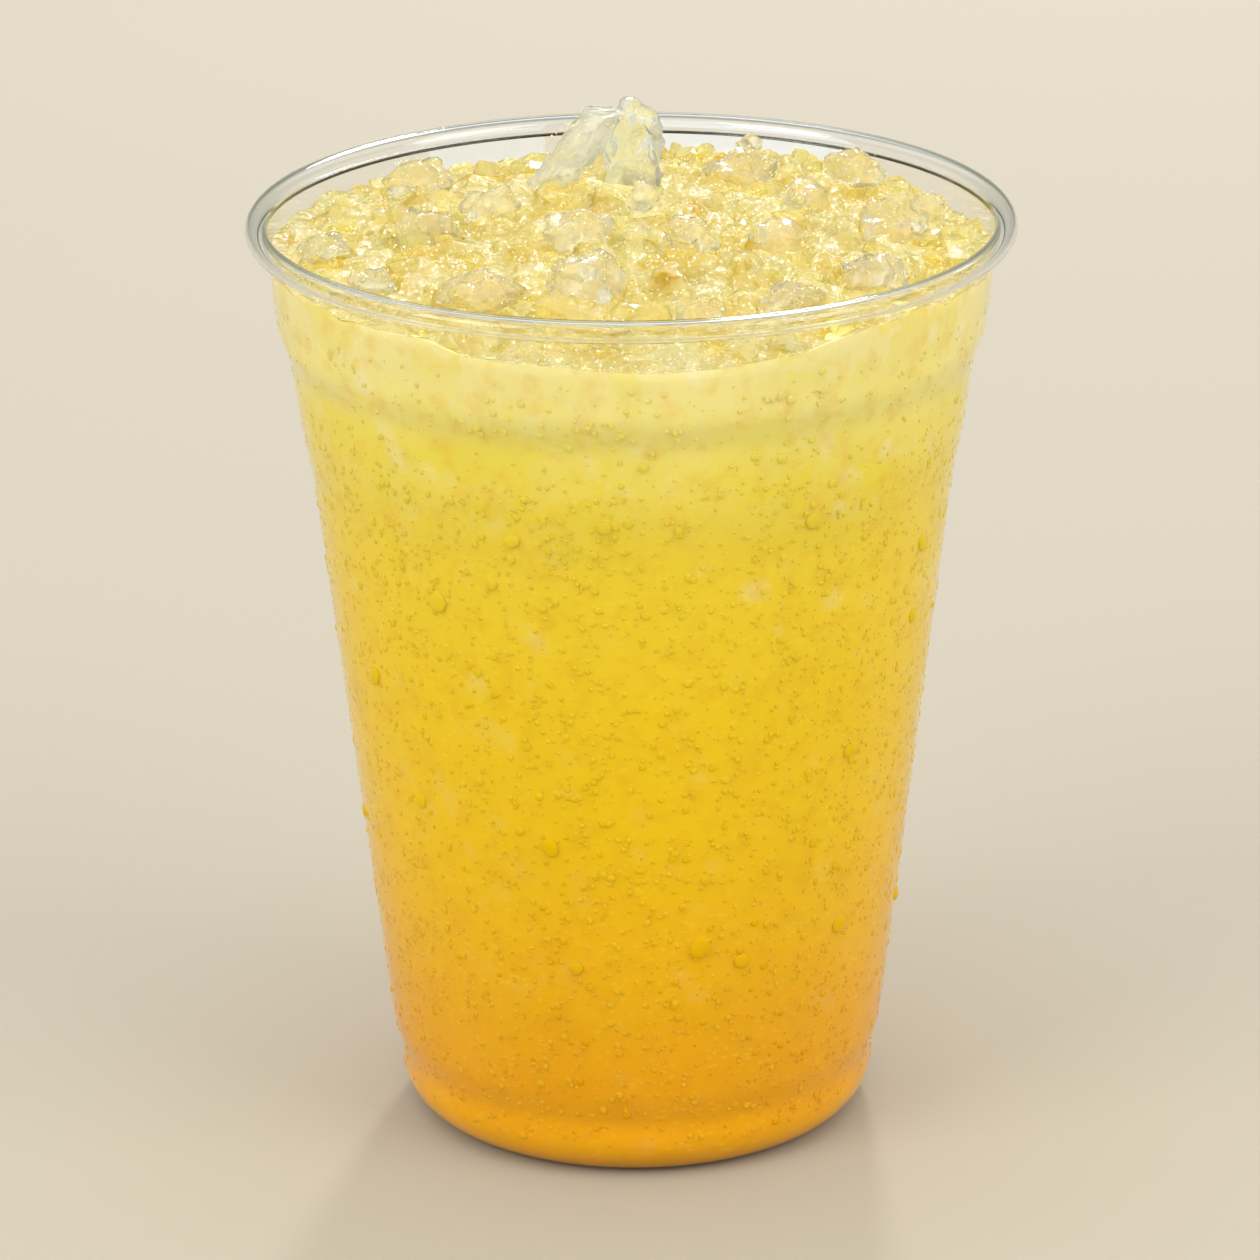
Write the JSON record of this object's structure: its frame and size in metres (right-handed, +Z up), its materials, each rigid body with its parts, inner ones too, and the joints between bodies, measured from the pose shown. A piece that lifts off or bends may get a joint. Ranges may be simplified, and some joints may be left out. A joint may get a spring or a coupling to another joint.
{
  "type": "iced lemonade in a clear plastic cup",
  "caption": "Clear tapered plastic cup with a rolled rim, filled with yellow lemonade and heaped with crushed ice that has a clear shard standing out of it.",
  "frame": {"origin": "middle of the cup's underside, on the plane that it stands on", "axes": "+Z up along the cup's axis, -Y towards the front, +X to the right"},
  "size_m": [0.098, 0.098, 0.1306],
  "materials": {
    "clear_plastic": "thin clear formed plastic sheet, glossy, beaded with condensation outside",
    "lemonade": "cloudy yellow drink packed with ice, paler at the top and deeper at the foot",
    "crushed_ice": "wet crushed ice soaked with the drink",
    "clear_ice": "clear wet ice with cracks",
    "bubbly_ice": "pale ice full of small bubbles"
  },
  "bodies": {
    "root": {"cup": "clear_plastic", "drink": "lemonade", "ice_heap": "crushed_ice", "ice_peak": "clear_ice", "ice_shoulder": "bubbly_ice", "ice_lump_1": "bubbly_ice", "ice_lump_2": "bubbly_ice", "ice_lump_3": "bubbly_ice", "ice_lump_4": "bubbly_ice", "ice_lump_5": "bubbly_ice", "ice_lump_6": "bubbly_ice", "ice_lump_7": "bubbly_ice", "ice_lump_8": "bubbly_ice", "ice_lump_9": "bubbly_ice", "ice_lump_10": "bubbly_ice", "ice_lump_11": "bubbly_ice", "ice_lump_12": "bubbly_ice", "ice_lump_13": "bubbly_ice", "ice_lump_14": "bubbly_ice", "ice_lump_15": "bubbly_ice", "ice_lump_16": "bubbly_ice", "ice_lump_17": "bubbly_ice", "ice_lump_18": "bubbly_ice", "ice_lump_19": "bubbly_ice", "ice_lump_20": "bubbly_ice"}
  },
  "joints": []
}
